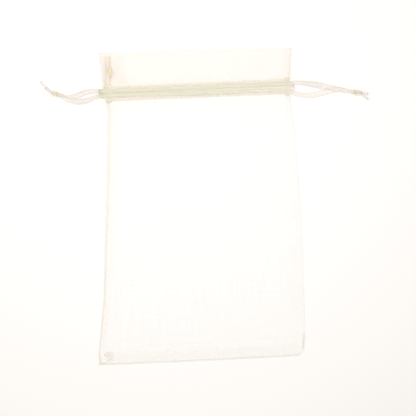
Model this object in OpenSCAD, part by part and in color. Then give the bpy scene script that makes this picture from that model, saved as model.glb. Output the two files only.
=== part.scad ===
// Drawstring gift pouch in sheer organza, lying empty on its back.
// +X is to the right, +Y is towards the mouth, +Z is up. Millimetres.
// The origin is under the middle of the cloth, on the surface the pouch lies on.

/* [Pouch] */
// Height of the pouch from bottom seam to the left end of the top edge
pouch_h = 151.2; // [145:0.1:160]
// How much lower the right end of the top edge is
top_drop = 1.6; // [0:0.1:3]
// Thickness of one layer of cloth
cloth_t = 0.3; // [0.2:0.05:0.4]
// Height of the lofted pouch above the surface
loft_h = 8.4; // [8.2:0.1:12]
// Length of the slope from the bottom seam up to the full loft
bottom_slope = 16; // [12:1:24]

/* [Casing and header] */
// Height of the middle of the casing above the origin
casing_y = 55.5; // [54:0.1:57]
// Clear height between the two stitch rows of a casing
casing_w = 6.4; // [6.2:0.1:7]
// Clear depth of a casing, where the ribbons lie
casing_gap = 1.4; // [1.2:0.1:1.6]
// Thickness of a stitch row
stitch_w = 0.4; // [0.3:0.05:0.5]
// Length of one stitch
stitch_len = 2.2; // [1.5:0.1:2.6]
// Distance from one stitch to the next
stitch_pitch = 3; // [2.8:0.1:4]

/* [Seams] */
// Width of the seam allowance inside the left side
side_allowance = 5; // [3:0.5:7]
// Width of the seam allowance inside the bottom
bottom_allowance = 6; // [4:0.5:8]
// Width of the side seam allowance in the header
header_allowance = 12; // [8:0.5:14]
// Radius of the knotted thread end in the header
thread_knot_r = 1; // [0.6:0.1:1.1]

/* [Ribbons] */
// Width of the ribbon where it lies flat
ribbon_w = 3; // [2.6:0.1:3]
// Width of the ribbon where it is curled up inside a casing
curled_w = 2; // [1.8:0.1:2]
// Thickness of the ribbon
ribbon_t = 0.3; // [0.2:0.05:0.35]
// Radius of the larger lump of a knot
knot_r = 1.7; // [1.5:0.1:1.9]

/* [Hidden] */

// Colours
cloth_colour = "ivory";
hem_colour = "oldlace";
thread_colour = "wheat";
ribbon_colour = "tan";
knot_colour = "burlywood";

// The cloth's left and right edges: [height, place across] from the bottom up
half_h = pouch_h / 2;
left_edge = [[-half_h, -50.6], [-69, -50.4], [-44, -47], [50, -41.4], [56, -42.8], [half_h, -44.4]];
right_edge = [
    [-half_h, 48.6], [-67, 49.9], [-19, 50.6], [29, 49.6], [50, 47.6], [56, 47.4], [half_h, 49.2]
];

// Levels in the neck, from the surface up
back_hem_z = cloth_t + casing_gap;
front_hem_z = loft_h - 2 * cloth_t - casing_gap;
back_strand_z = cloth_t + casing_gap / 2;
front_strand_z = loft_h - back_strand_z;

// Heights of the casing's two edges and of its two ribbon tracks
casing_bottom = casing_y - casing_w / 2;
casing_top = casing_y + casing_w / 2;
lower_track = casing_y - 1.75;
lower_track_left = casing_y - 1.15; // the lower track rises towards the left
upper_track = casing_y + 1.05;

// The slope down each side of the front panel: [height, width of the slope]
side_slope = [[-half_h, 2], [-half_h + bottom_slope, 10], [20, 8], [casing_bottom - 1, 1]];
footprint = 0.6;       // width of the front panel's foot on the back panel
wall = 0.6;            // thickness of the cloth that closes a side of the neck
split_gap = 0.2;       // space between the left and right half of a hem
hem_margin = 0.6;      // how far a hem stops short of the neck's sides
layer_gap = 0.05;      // space that keeps neighbouring pieces from touching
allowance_inset = 1.6; // how far inside the edge a seam allowance starts
seam_bead_r = 0.28;    // radius of the seam's thread
seam_pitch = 3;        // distance from one seam stitch to the next
header_clear = 0.8;    // how far below the top edge the neck's sides end
tack_from = 0.7;       // how far inside the edge a bar tack starts
tack_to = 2.3;         // and how far inside the edge it ends
row_inset = 2.5;       // how far inside the edge a stitch row starts

// Stations up the front panel, and the height of the cloth at each
body_top = casing_bottom - stitch_w - 0.1;
stations = [-half_h, -half_h + bottom_slope, -44, -19, 20, 40, body_top];
crown = [[-half_h, 2 * cloth_t], [-half_h + bottom_slope, loft_h], [half_h, loft_h]];

// ---- Cloth ----

// The outline of the pouch between two heights, moved in by inset at each side
module outline(low, high, inset = 0) {
    heights_l = [low, for (e = left_edge) if (e[0] > low && e[0] < high) e[0], high];
    heights_r = [low, for (e = right_edge) if (e[0] > low && e[0] < high) e[0], high];
    drop = high == half_h ? top_drop : 0;
    polygon([
        for (y = heights_l) [lookup(y, left_edge) + inset, y],
        for (i = [len(heights_r) - 1 : -1 : 0])
            [lookup(heights_r[i], right_edge) - inset, heights_r[i] - (i == len(heights_r) - 1 ? drop : 0)]
    ]);
}

// One four-point section across the front panel: foot, shoulder, shoulder, foot
function section(y, z, foot, drop) = [
    [lookup(y, left_edge) + foot, y, cloth_t],
    [lookup(y, left_edge) + lookup(y, side_slope) + drop / 2, y, z - drop],
    [lookup(y, right_edge) - lookup(y, side_slope) - drop / 2, y, z - drop],
    [lookup(y, right_edge) - foot, y, cloth_t]
];

// A closed solid through sections of n points each, listed clockwise seen from the first one
module loft(sections) {
    n = len(sections[0]);
    last = len(sections) - 1;
    polyhedron(
        points = [for (s = sections) each s],
        faces = [
            [for (i = [0 : n - 1]) i],
            [for (i = [n - 1 : -1 : 0]) last * n + i],
            for (s = [0 : last - 1], i = [0 : n - 1])
                let (a = s * n + i, b = s * n + (i + 1) % n)
                each [[a, a + n, b + n], [a, b + n, b]]
        ]
    );
}

// The back: the outline cut from one flat layer
module back_panel() {
    color(cloth_colour) linear_extrude(cloth_t) outline(-half_h, half_h);
}

// The front: a shallow lid over the back, open towards the mouth, and a flat layer above the casing's start
module front_panel() {
    color(cloth_colour) {
        difference() {
            loft([for (y = stations) section(y, lookup(y, crown), 0, 0)]);
            loft([for (y = stations) let (
                inner_y = y == -half_h ? y + footprint : y == body_top ? y + 1 : y,
                top = y == -half_h ? 2.5 * cloth_t : lookup(y, crown)
            ) section(inner_y, top, footprint, cloth_t)]);
        }
        translate([0, 0, loft_h - cloth_t]) linear_extrude(cloth_t) outline(body_top, half_h);
    }
}

// One side's half of a hem: the inner layer at z_inner, closed to the outer layer by a fold along the top
module hem_half(side, z_inner, fold_z) {
    reach = pouch_h / 2;
    intersection() {
        union() {
            translate([0, 0, z_inner]) linear_extrude(cloth_t)
                outline(body_top + layer_gap, half_h, hem_margin);
            translate([0, 0, fold_z]) linear_extrude(casing_gap)
                top_strip(2 * cloth_t);
        }
        translate([side < 0 ? -reach - split_gap / 2 : split_gap / 2, 0, 0])
            cube([reach, pouch_h, loft_h]);
    }
}

// The narrow strip just under the top edge
module top_strip(depth) {
    left = lookup(half_h, left_edge) + hem_margin;
    right = lookup(half_h, right_edge) - hem_margin;
    polygon([
        [left, half_h - depth], [left, half_h],
        [right, half_h - top_drop], [right, half_h - top_drop - depth]
    ]);
}

module front_hem_left() {
    color(hem_colour) hem_half(-1, front_hem_z, front_hem_z + cloth_t);
}

module front_hem_right() {
    color(hem_colour) hem_half(1, front_hem_z, front_hem_z + cloth_t);
}

module back_hem_left() {
    color(hem_colour) hem_half(-1, back_hem_z, cloth_t);
}

module back_hem_right() {
    color(hem_colour) hem_half(1, back_hem_z, cloth_t);
}

// ---- Seams ----

// A band along the inside of one edge, between two heights
module edge_band(edge, low, high, from, to) {
    heights = [low, for (e = edge) if (e[0] > low && e[0] < high) e[0], high];
    polygon([
        for (y = heights) [lookup(y, edge) + from, y],
        for (i = [len(heights) - 1 : -1 : 0]) [lookup(heights[i], edge) + to, heights[i]]
    ]);
}

// Two raw edges lying on the back panel inside the left side
module side_seam_allowance() {
    color(hem_colour) translate([0, 0, cloth_t]) linear_extrude(2 * cloth_t)
        edge_band(left_edge, -half_h + bottom_allowance + 4, casing_bottom - 3,
            allowance_inset, allowance_inset + side_allowance);
}

// Two raw edges lying on the back panel inside the bottom
module bottom_seam_allowance() {
    low = -half_h + 2;
    color(hem_colour) translate([0, 0, cloth_t]) linear_extrude(2 * cloth_t)
        polygon([
            [lookup(low, left_edge) + 3, low], [lookup(low, left_edge) + 4, low + bottom_allowance],
            [lookup(low, right_edge) - 4, low + bottom_allowance], [lookup(low, right_edge) - 3, low]
        ]);
}

// A short thread stitch from one point to another
module thread_bead(from, to, r) {
    along = to - from;
    translate(from)
        rotate([0, acos(along[2] / norm(along)), atan2(along[1], along[0])])
            cylinder(h = norm(along), r = r, $fn = 16);
}

// Overlock thread on the side seam allowance
module side_seam_stitching() {
    z = 3 * cloth_t + seam_bead_r;
    color(thread_colour)
        for (y = [-half_h + bottom_allowance + 6 : seam_pitch : casing_bottom - 6])
            let (x = lookup(y, left_edge) + allowance_inset + 1)
            thread_bead([x, y, z], [x + side_allowance - 2, y + seam_pitch / 2, z], seam_bead_r);
}

// Overlock thread on the bottom seam allowance
module bottom_seam_stitching() {
    z = 3 * cloth_t + seam_bead_r;
    low = -half_h + 2.8;
    left = lookup(low, left_edge) + 6;
    right = lookup(low, right_edge) - 6;
    color(thread_colour)
        for (x = [left : seam_pitch : right])
            thread_bead([x, low, z], [x + seam_pitch / 2, low + bottom_allowance - 1.6, z], seam_bead_r);
}

// A row of stitches that holds a hem to its outer layer, from the left side to the right
module stitch_row(y, z) {
    left = lookup(y, left_edge) + row_inset;
    right = lookup(y, right_edge) - row_inset - stitch_len;
    color(thread_colour)
        for (x = [left : stitch_pitch : right])
            translate([x, y, z]) cube([stitch_len, stitch_w, casing_gap]);
}

module front_lower_stitches() {
    stitch_row(casing_bottom - stitch_w, front_hem_z + cloth_t);
}

module front_upper_stitches() {
    stitch_row(casing_top, front_hem_z + cloth_t);
}

module back_lower_stitches() {
    stitch_row(casing_bottom - stitch_w, cloth_t);
}

module back_upper_stitches() {
    stitch_row(casing_top, cloth_t);
}

// ---- Sides of the neck ----

// The wall that closes one side of the neck between the two hems
module neck_side(edge, from, to) {
    low = casing_bottom - 0.4;
    translate([0, 0, back_hem_z + cloth_t])
        linear_extrude(front_hem_z - back_hem_z - cloth_t)
            edge_band(edge, low, half_h - top_drop - header_clear, from, to);
}

// Left side: sewn, with a wide allowance lying in the header
module left_neck_seam() {
    color(cloth_colour) {
        neck_side(left_edge, hem_margin, hem_margin + wall);
        translate([0, 0, back_hem_z + cloth_t]) linear_extrude(2 * cloth_t)
            edge_band(left_edge, casing_top + 1, half_h - 2, hem_margin + wall, header_allowance);
    }
}

// Right side: the fold of the sheet
module right_neck_fold() {
    color(cloth_colour) neck_side(right_edge, -hem_margin - wall, -hem_margin);
}

// The four bar tacks at the ends of the stitch rows on one side
module mouth_tacks(edge, from, to) {
    color(thread_colour)
        for (
            y = [casing_bottom - stitch_w - layer_gap, casing_top + layer_gap],
            z = [cloth_t, front_hem_z + cloth_t]
        )
            translate([lookup(y, edge) + from, y, z]) cube([to - from, stitch_w, casing_gap]);
}

module left_mouth_tacks() {
    mouth_tacks(left_edge, tack_from, tack_to);
}

module right_mouth_tacks() {
    mouth_tacks(right_edge, -tack_to, -tack_from);
}

// The knotted end of the seam's thread, lying on the header's allowance
module seam_end_thread() {
    x = -38.6;
    y = 66.4;
    z = back_hem_z + 3 * cloth_t + thread_knot_r;
    color(thread_colour) {
        translate([x, y, z]) sphere(r = thread_knot_r, $fn = 32);
        thread_bead([x, y, z], [x - 0.6, half_h - 2.6, z], seam_bead_r);
    }
}

// ---- Ribbons ----

// The straight stretches through a casing, with a point at each of the places across
function upper_stretch(places, z) = [for (x = places) [x, upper_track, z]];
function lower_stretch(places, z) =
    [for (x = places) [x, lookup(x, [[-24, lower_track_left], [8, lower_track]]), z]];

// Left ribbon, from its knot along the front casing, round the right side and back to its knot
left_route = [
    [-63.6, 55.8, 1.9], [-60.4, 53.7, 2], [-56, 52.4, 3], [-51, 52.4, 5], [-46.6, 53.6, 6.8],
    each lower_stretch([-42, -37, -24, -8, 8, 26, 40, 46], front_strand_z),
    [48.6, 54.3, 6.5], [49.5, 55.4, 4.2], [48.6, 56.3, 1.9],
    each upper_stretch([46, 40, 26, 0, -26, -38, -42], back_strand_z),
    [-46.4, 57, 0.8], [-51, 56.8, 0.5], [-56, 55.3, 0.4], [-60.4, 55, 0.7], [-63.6, 55.8, 1.2]
];

// Right ribbon, from its knot along the front casing, round the left side and back to its knot
right_route = [
    [77.2, 51.6, 1.9], [73, 52.4, 1.8], [67.6, 53.8, 2.3], [61.6, 55.2, 3.8], [55.6, 56.2, 5.6],
    [50.8, 56.7, 7],
    each upper_stretch([46.4, 42, 30, 4, -22, -36, -41.6], front_strand_z),
    [-44, 56.3, 6.5], [-44.9, 55.5, 4.2], [-44, 54.7, 1.9],
    each lower_stretch([-41.6, -37, -24, -8, 8, 26, 42], back_strand_z),
    [47.2, 53.4, 1.1], [50.6, 51.7, 0.8], [55, 50.8, 0.4], [60.4, 51, 0.3], [66, 52.6, 0.3],
    [72, 53, 0.4], [77.2, 51.6, 1.2]
];

left_tail_routes = [
    [[-67.6, 57.4, 1.6], [-69.4, 59.2, 1.3], [-71.2, 60.8, 1.1], [-72.8, 62.4, 1]],
    [[-67.6, 57.1, 0.9], [-69.2, 58.2, 0.6], [-70.8, 59.6, 0.5]]
];
right_tail_routes = [
    [[81, 51.3, 1.4], [82.8, 50.8, 1.1], [84.8, 50.4, 1]],
    [[80.8, 51, 0.8], [82.8, 49.6, 0.5], [84.6, 48.2, 0.4]]
];

// Where the larger lump of each knot lies, and which way the smaller one lies from it
left_knot_at = [-64.9, 56.3, knot_r];
left_knot_turn = 162;
right_knot_at = [78.7, 51.5, knot_r];
right_knot_turn = -9;
lump_step = 2;      // distance between a knot's two lumps
lump_shrink = 0.25; // how much smaller the second lump is

function unit(v) = v / norm(v);

// A point on the smooth curve through four points in a row, at t from 0 to 1 between the middle two
function between(a, b, c, d, t) =
    0.5 * (2 * b + (c - a) * t + (2 * a - 5 * b + 4 * c - d) * t * t + (3 * b - a - 3 * c + d) * t * t * t);

// The smooth curve through a route's points, with one more point in each step
function smooth(route) = let (last = len(route) - 1) [
    for (i = [0 : last - 1], t = [0, 0.5])
        between(route[max(i - 1, 0)], route[i], route[i + 1], route[min(i + 2, last)], t),
    route[last]
];

// The ribbon's width at a place across: curled up in the casing, flat outside it
function width_at(x) = lookup(x, [[-53, ribbon_w], [-45, curled_w], [48, curled_w], [55, ribbon_w]]);

// Four corners of the ribbon's section at one point of its path, its width kept level
function ribbon_ring(path, i) =
    let (
        along = unit(path[min(i + 1, len(path) - 1)] - path[max(i - 1, 0)]),
        across = unit([0, 1, 0] - along * along[1]),
        up = cross(along, across)
    )
    [for (c = [[-1, -1], [-1, 1], [1, 1], [1, -1]])
        path[i] + across * c[0] * width_at(path[i][0]) / 2 + up * c[1] * ribbon_t / 2];

module ribbon(path) {
    color(ribbon_colour) loft([for (i = [0 : len(path) - 1]) ribbon_ring(path, i)]);
}

module left_ribbon() {
    ribbon(smooth(left_route));
}

module right_ribbon() {
    ribbon(smooth(right_route));
}

module left_tails() {
    for (route = left_tail_routes) ribbon(route);
}

module right_tails() {
    for (route = right_tail_routes) ribbon(route);
}

// A knot: two lumps of ribbon pulled tight against each other, turned about their common axis
module knot(at, turn) {
    color(knot_colour) translate(at) rotate([0, 90, turn])
        rotate_extrude($fn = 48) intersection() {
            union() {
                circle(r = knot_r, $fn = 48);
                translate([0, lump_step]) circle(r = knot_r - lump_shrink, $fn = 48);
            }
            translate([0, -knot_r]) square([knot_r, 2 * knot_r + lump_step]);
        }
}

module left_knot() {
    knot(left_knot_at, left_knot_turn);
}

module right_knot() {
    knot(right_knot_at, right_knot_turn);
}

back_panel();
front_panel();
side_seam_allowance();
bottom_seam_allowance();
side_seam_stitching();
bottom_seam_stitching();
front_lower_stitches();
front_upper_stitches();
back_lower_stitches();
back_upper_stitches();
front_hem_left();
front_hem_right();
back_hem_left();
back_hem_right();
left_neck_seam();
right_neck_fold();
left_mouth_tacks();
right_mouth_tacks();
seam_end_thread();
left_ribbon();
left_knot();
left_tails();
right_ribbon();
right_knot();
right_tails();
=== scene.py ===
"""Drawstring gift pouch in sheer organza: the looks, in the frame of the CAD model.

Lengths in the tables below are in millimetres and become metres where a mesh is made.
"""

import math

import bpy
import numpy as np
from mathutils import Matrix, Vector


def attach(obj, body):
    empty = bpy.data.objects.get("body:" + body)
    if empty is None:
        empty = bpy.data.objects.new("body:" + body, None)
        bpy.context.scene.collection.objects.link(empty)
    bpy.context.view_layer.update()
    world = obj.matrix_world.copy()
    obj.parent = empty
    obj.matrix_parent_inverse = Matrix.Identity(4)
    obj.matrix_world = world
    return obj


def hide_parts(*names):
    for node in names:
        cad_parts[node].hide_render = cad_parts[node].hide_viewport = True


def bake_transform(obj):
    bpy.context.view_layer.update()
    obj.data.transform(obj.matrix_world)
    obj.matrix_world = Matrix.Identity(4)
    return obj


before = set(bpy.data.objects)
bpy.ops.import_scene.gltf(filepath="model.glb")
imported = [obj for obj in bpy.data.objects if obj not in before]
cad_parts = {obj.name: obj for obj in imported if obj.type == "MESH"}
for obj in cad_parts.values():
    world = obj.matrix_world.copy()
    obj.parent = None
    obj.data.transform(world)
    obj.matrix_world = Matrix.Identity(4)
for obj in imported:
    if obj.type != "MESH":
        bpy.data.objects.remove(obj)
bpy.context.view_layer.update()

MM = 0.001

# ---- Sizes of the pouch, the same as in the CAD source ----

# Each edge is a list of heights and the places of the edge there.
HALF_H = 75.6
TOP_DROP = 1.6
LEFT_EDGE = [(-HALF_H, -50.6), (-69, -50.4), (-44, -47), (50, -41.4), (56, -42.8), (HALF_H, -44.4)]
RIGHT_EDGE = [
    (-HALF_H, 48.6), (-67, 49.9), (-19, 50.6), (29, 49.6), (50, 47.6), (56, 47.4), (HALF_H, 49.2)
]
EDGES = {"left": LEFT_EDGE, "right": RIGHT_EDGE}
INWARD = {"left": 1, "right": -1}

# The casing: its middle, its stitch rows, the ribbons' tracks and their heights front and back.
CASING_Y = 55.5
LOWER_ROW = 52.3
UPPER_ROW = 58.7
LOWER_TRACK = CASING_Y - 1.75
LOWER_TRACK_LEFT = CASING_Y - 1.15
UPPER_TRACK = CASING_Y + 1.05
FRONT_STRAND = 7.4
BACK_STRAND = 1.0

# Where the body's sheets meet the neck's, and the cloth.
SPLIT_Y = 52.0
CLOTH_T = 0.15

# The ribbon: its width open and curled up in a casing, its thickness in the middle and at its
# woven edges, and the lowest that it may lie.
RIBBON_W = 3.0
CURLED_W = 2.1
RIBBON_T = 0.22
RIBBON_EDGE_T = 0.34
LOWEST_POINT = 0.05

rng = np.random.default_rng(7)


# ---- Camera, floor and light ----

# The camera looks down on VIEW_CENTRE and its picture is VIEW_WIDTH wide at CLOTH_LEVEL.
VIEW_CENTRE = (5.39, -1.69)
VIEW_WIDTH = 200.6
VIEW_HEIGHT = 900.0
VIEW_ROLL = math.radians(-2.4)
CLOTH_LEVEL = 5.0
SENSOR = 36.0
FLOOR_REACH = 3000
FLOOR_LEVEL = -0.3
KEY_PLACE = (-20, 70, 340)
KEY_AIM = (-20, 50, 0)
KEY_SIZE = 340
KEY_WATTS = 0.9
KEY_COLOUR = (0.97, 0.985, 1)
SKY_COLOUR = (1.0, 0.93, 0.87)
SKY_STRENGTH = 0.66


def make_camera():
    """Looks straight down, turned a little."""
    data = bpy.data.cameras.new("camera")
    data.sensor_width = SENSOR
    data.lens = SENSOR * (VIEW_HEIGHT - CLOTH_LEVEL) / VIEW_WIDTH
    data.clip_start = 0.05
    data.clip_end = 10
    camera = bpy.data.objects.new("camera", data)
    bpy.context.collection.objects.link(camera)
    camera.location = (VIEW_CENTRE[0] * MM, VIEW_CENTRE[1] * MM, VIEW_HEIGHT * MM)
    camera.rotation_euler = (0, 0, VIEW_ROLL)
    bpy.context.scene.camera = camera


def make_floor():
    corners = [(-1, -1), (1, -1), (1, 1), (-1, 1)]
    reach = FLOOR_REACH * MM
    mesh = bpy.data.meshes.new("floor")
    mesh.from_pydata(
        [(x * reach, y * reach, FLOOR_LEVEL * MM) for x, y in corners], [], [(0, 1, 2, 3)]
    )
    floor = bpy.data.objects.new("floor", mesh)
    bpy.context.collection.objects.link(floor)
    material = bpy.data.materials.new("floor")
    material.use_nodes = True
    shader = material.node_tree.nodes["Principled BSDF"]
    shader.inputs["Base Color"].default_value = (0.9, 0.9, 0.9, 1)
    shader.inputs["Roughness"].default_value = 0.9
    shader.inputs["Specular IOR Level"].default_value = 0.1
    mesh.materials.append(material)


def make_light():
    """Soft light from all round and one square lamp above the neck of the pouch."""
    world = bpy.data.worlds.new("studio")
    world.use_nodes = True
    background = world.node_tree.nodes["Background"]
    background.inputs["Color"].default_value = (*SKY_COLOUR, 1)
    background.inputs["Strength"].default_value = SKY_STRENGTH
    bpy.context.scene.world = world

    data = bpy.data.lights.new("key", "AREA")
    data.shape = "SQUARE"
    data.size = KEY_SIZE * MM
    data.energy = KEY_WATTS
    data.color = KEY_COLOUR
    light = bpy.data.objects.new("key", data)
    bpy.context.collection.objects.link(light)
    light.location = Vector(KEY_PLACE) * MM
    light.visible_camera = False
    aim = Vector(KEY_AIM) - Vector(KEY_PLACE)
    light.rotation_euler = aim.to_track_quat("-Z", "Y").to_euler()


def set_picture():
    """Plain colours, and enough bounces for light to pass all the layers of sheer cloth."""
    bpy.context.scene.view_settings.view_transform = "Standard"
    bpy.context.scene.view_settings.look = "None"
    bpy.context.scene.cycles.transparent_max_bounces = 32


# ---- Node helpers ----

class Nodes:
    """A short way to add and join shader nodes of one material."""

    def __init__(self, name):
        self.material = bpy.data.materials.new(name)
        self.material.use_nodes = True
        self.tree = self.material.node_tree
        self.shader = self.tree.nodes["Principled BSDF"]

    def add(self, kind, **settings):
        node = self.tree.nodes.new(kind)
        for name, value in settings.items():
            setattr(node, name, value)
        return node

    def join(self, source, target):
        self.tree.links.new(source, target)

    def put(self, value, socket):
        """A number, a colour or another node's output into a socket."""
        if isinstance(value, bpy.types.NodeSocket):
            self.join(value, socket)
        else:
            socket.default_value = value

    def maths(self, operation, a, b=0.0, c=0.0, clamp=False):
        node = self.add("ShaderNodeMath", operation=operation, use_clamp=clamp)
        for value, socket in zip((a, b, c), node.inputs):
            self.put(value, socket)
        return node.outputs[0]

    def in_millimetres(self, place):
        """A place in millimetres: the whole of it, its first part and its second part."""
        scaled = self.add("ShaderNodeVectorMath", operation="SCALE")
        self.join(place, scaled.inputs[0])
        scaled.inputs["Scale"].default_value = 1 / MM
        parts = self.add("ShaderNodeSeparateXYZ")
        self.join(scaled.outputs[0], parts.inputs[0])
        return scaled.outputs[0], parts.outputs[0], parts.outputs[1]

    def cloth_place(self):
        """Across and along the cloth as it was cut."""
        return self.in_millimetres(self.add("ShaderNodeUVMap", uv_map="Cloth").outputs[0])

    def mesh_value(self, name):
        """A value that each point of the mesh carries."""
        return self.add("ShaderNodeAttribute", attribute_name=name).outputs["Fac"]

    def noise(self, place, scale, detail=2.0):
        node = self.add("ShaderNodeTexNoise")
        self.join(place, node.inputs["Vector"])
        node.inputs["Scale"].default_value = scale
        node.inputs["Detail"].default_value = detail
        return node.outputs["Fac"]

    def stretched(self, place, x, y):
        node = self.add("ShaderNodeVectorMath", operation="MULTIPLY")
        self.join(place, node.inputs[0])
        node.inputs[1].default_value = (x, y, 1)
        return node.outputs[0]

    def threads(self, along, pitch, wobble):
        """A row of threads: 0 between two threads, 1 on the middle of one."""
        phase = self.maths("MULTIPLY_ADD", wobble, 0.7, self.maths("DIVIDE", along, pitch))
        wave = self.maths("PINGPONG", phase, 0.5)
        return self.maths("MULTIPLY", wave, 2.0)

    def colour_between(self, factor, low, high):
        node = self.add("ShaderNodeMix", data_type="RGBA")
        self.put(factor, node.inputs["Factor"])
        for colour, socket in ((low, node.inputs["A"]), (high, node.inputs["B"])):
            self.put(colour if isinstance(colour, bpy.types.NodeSocket) else (*colour, 1), socket)
        return node.outputs["Result"]

    def bump(self, height, distance, strength=0.4):
        node = self.add("ShaderNodeBump")
        self.join(height, node.inputs["Height"])
        node.inputs["Distance"].default_value = distance
        node.inputs["Strength"].default_value = strength
        self.join(node.outputs[0], self.shader.inputs["Normal"])


WEAVE_PITCH = 0.42


def organza(name, low, high, open_cover, thread_cover, fold_cover):
    """Sheer plain weave: fine threads with slubs, open between them and denser along a fold."""
    n = Nodes(name)
    place, across, along = n.cloth_place()
    slub_along = n.noise(n.stretched(place, 1.1, 0.06), 1.0)
    slub_across = n.noise(n.stretched(place, 0.05, 1.3), 1.0)
    cloud = n.noise(place, 0.07, 3.0)
    warp = n.threads(across, WEAVE_PITCH, slub_across)
    weft = n.threads(along, WEAVE_PITCH * 1.08, slub_along)
    thread = n.maths("MAXIMUM", n.maths("POWER", warp, 2.2), n.maths("POWER", weft, 2.2))
    slub = n.maths("ADD", slub_along, slub_across)
    thickness = n.maths("MULTIPLY_ADD", slub, 0.55, 0.45)
    cover = n.maths("MULTIPLY", n.maths("MULTIPLY", thread, thickness), thread_cover - open_cover)
    cover = n.maths("ADD", cover, open_cover)
    cover = n.maths("MULTIPLY", cover, n.maths("MULTIPLY_ADD", cloud, 0.2, 0.9))
    cover = n.maths("MULTIPLY_ADD", n.mesh_value("fold"), fold_cover, cover, clamp=True)
    n.join(cover, n.shader.inputs["Alpha"])
    n.join(n.colour_between(slub_along, low, high), n.shader.inputs["Base Color"])
    n.join(n.maths("MULTIPLY_ADD", thread, -0.15, 0.6), n.shader.inputs["Roughness"])
    n.bump(thread, 0.00005)
    n.shader.inputs["Specular IOR Level"].default_value = 0.35
    n.shader.inputs["Sheen Weight"].default_value = 0.25
    n.shader.inputs["Sheen Roughness"].default_value = 0.4
    return n.material


TWIST_PITCH = 0.5


def sewing_thread(name, shaded_groove, light):
    """Spun thread: strands twisted round each other, with a soft fuzz of lighter fibres, and painted
    shade in the grooves between the strands.
    """
    n = Nodes(name)
    place, x, y = n.in_millimetres(n.add("ShaderNodeTexCoord").outputs["Object"])
    slant = n.maths("ADD", x, n.maths("MULTIPLY", y, 0.8))
    strand = n.threads(slant, TWIST_PITCH, n.noise(place, 1.6))
    # Painted shade: the colour is darker between the twisted strands and lighter on their crowns.
    n.join(n.colour_between(strand, shaded_groove, light), n.shader.inputs["Base Color"])
    n.join(n.maths("MULTIPLY_ADD", strand, -0.2, 0.7), n.shader.inputs["Roughness"])
    n.bump(strand, 0.00006, 0.6)
    n.shader.inputs["Sheen Weight"].default_value = 0.3
    return n.material


def organza_ribbon(name, cased, loose, middle_cover, edge_cover):
    """Narrow sheer ribbon: a fine even weave between two dense woven edges.

    cased and loose are the edge and middle colours of ribbon curled up in the casing and of
    ribbon that lies open outside it. The loose colours are darkened with painted shadow: the
    shadow that the ribbon, which casts none, would throw on what lies beneath it.
    """
    n = Nodes(name)
    place, across, along = n.cloth_place()
    side = n.maths("DIVIDE", n.maths("ABSOLUTE", across), RIBBON_W / 2)
    dense = n.maths("SMOOTH_MIN", n.maths("POWER", side, 5.0), 1.0, 0.1)
    open_air = n.mesh_value("loose")
    weft = n.threads(along, 0.3, n.noise(n.stretched(place, 0.4, 0.4), 1.0))
    warp = n.threads(across, 0.25, n.noise(n.stretched(place, 1.0, 0.05), 1.0))
    thread = n.maths("MAXIMUM", weft, warp)
    crease = n.noise(n.stretched(place, 0.8, 0.12), 1.0, 3.0)
    cover = n.maths("MULTIPLY_ADD", dense, edge_cover - middle_cover, middle_cover)
    cover = n.maths("MULTIPLY", cover, n.maths("MULTIPLY_ADD", thread, 0.3, 0.7))
    thin = n.maths("MULTIPLY_ADD", n.mesh_value("thin"), -0.5, 1.0)
    cover = n.maths("MULTIPLY", cover, thin, clamp=True)
    n.join(cover, n.shader.inputs["Alpha"])
    tone = n.maths("MULTIPLY", n.maths("SUBTRACT", 1.0, dense), crease, clamp=True)
    tone = n.maths("MULTIPLY", tone, 1.6, clamp=True)
    colour = n.colour_between(
        open_air, n.colour_between(tone, *cased), n.colour_between(tone, *loose)
    )
    n.join(colour, n.shader.inputs["Base Color"])
    n.join(n.maths("MULTIPLY_ADD", thread, -0.15, 0.5), n.shader.inputs["Roughness"])
    n.bump(thread, 0.00006, 0.5)
    n.shader.inputs["Sheen Weight"].default_value = 0.3
    n.shader.inputs["Anisotropic"].default_value = 0.4
    return n.material


# ---- Mesh helpers ----

def new_piece(name, points, faces, material, slot, cloth=None, values=None):
    """A mesh piece from points in millimetres.

    cloth holds each point's place on the flat cloth, and values names what else a point carries.
    """
    mesh = bpy.data.meshes.new(name)
    points = np.asarray(points, float) * MM
    mesh.from_pydata([tuple(p) for p in points], [], [tuple(int(i) for i in f) for f in faces])
    mesh.update()
    if cloth is not None:
        cloth = np.asarray(cloth, float) * MM
        layer = mesh.uv_layers.new(name="Cloth")
        corners = np.zeros(len(mesh.loops), int)
        mesh.loops.foreach_get("vertex_index", corners)
        layer.data.foreach_set("uv", cloth[corners].astype(np.float32).ravel())
    for label, numbers in (values or {}).items():
        carried = mesh.attributes.new(label, "FLOAT", "POINT")
        carried.data.foreach_set("value", np.asarray(numbers, np.float32).ravel())
    mesh.polygons.foreach_set("use_smooth", np.ones(len(mesh.polygons), bool))
    mesh.materials.append(material)
    piece = bpy.data.objects.new(name, mesh)
    bpy.context.collection.objects.link(piece)
    return piece


def grid_faces(rows, columns, flip=False):
    faces = []
    for r in range(rows - 1):
        for c in range(columns - 1):
            a = r * columns + c
            quad = (a, a + 1, a + columns + 1, a + columns)
            faces.append(quad[::-1] if flip else quad)
    return faces


def mark_outline_sharp(mesh):
    """Keeps the shading of a sheet's face apart from that of its thin cut edge."""
    uses = np.zeros(len(mesh.edges), int)
    loops = np.zeros(len(mesh.loops), int)
    mesh.loops.foreach_get("edge_index", loops)
    np.add.at(uses, loops, 1)
    sharp = mesh.attributes.new("sharp_edge", "BOOLEAN", "EDGE")
    sharp.data.foreach_set("value", uses == 1)


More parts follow.
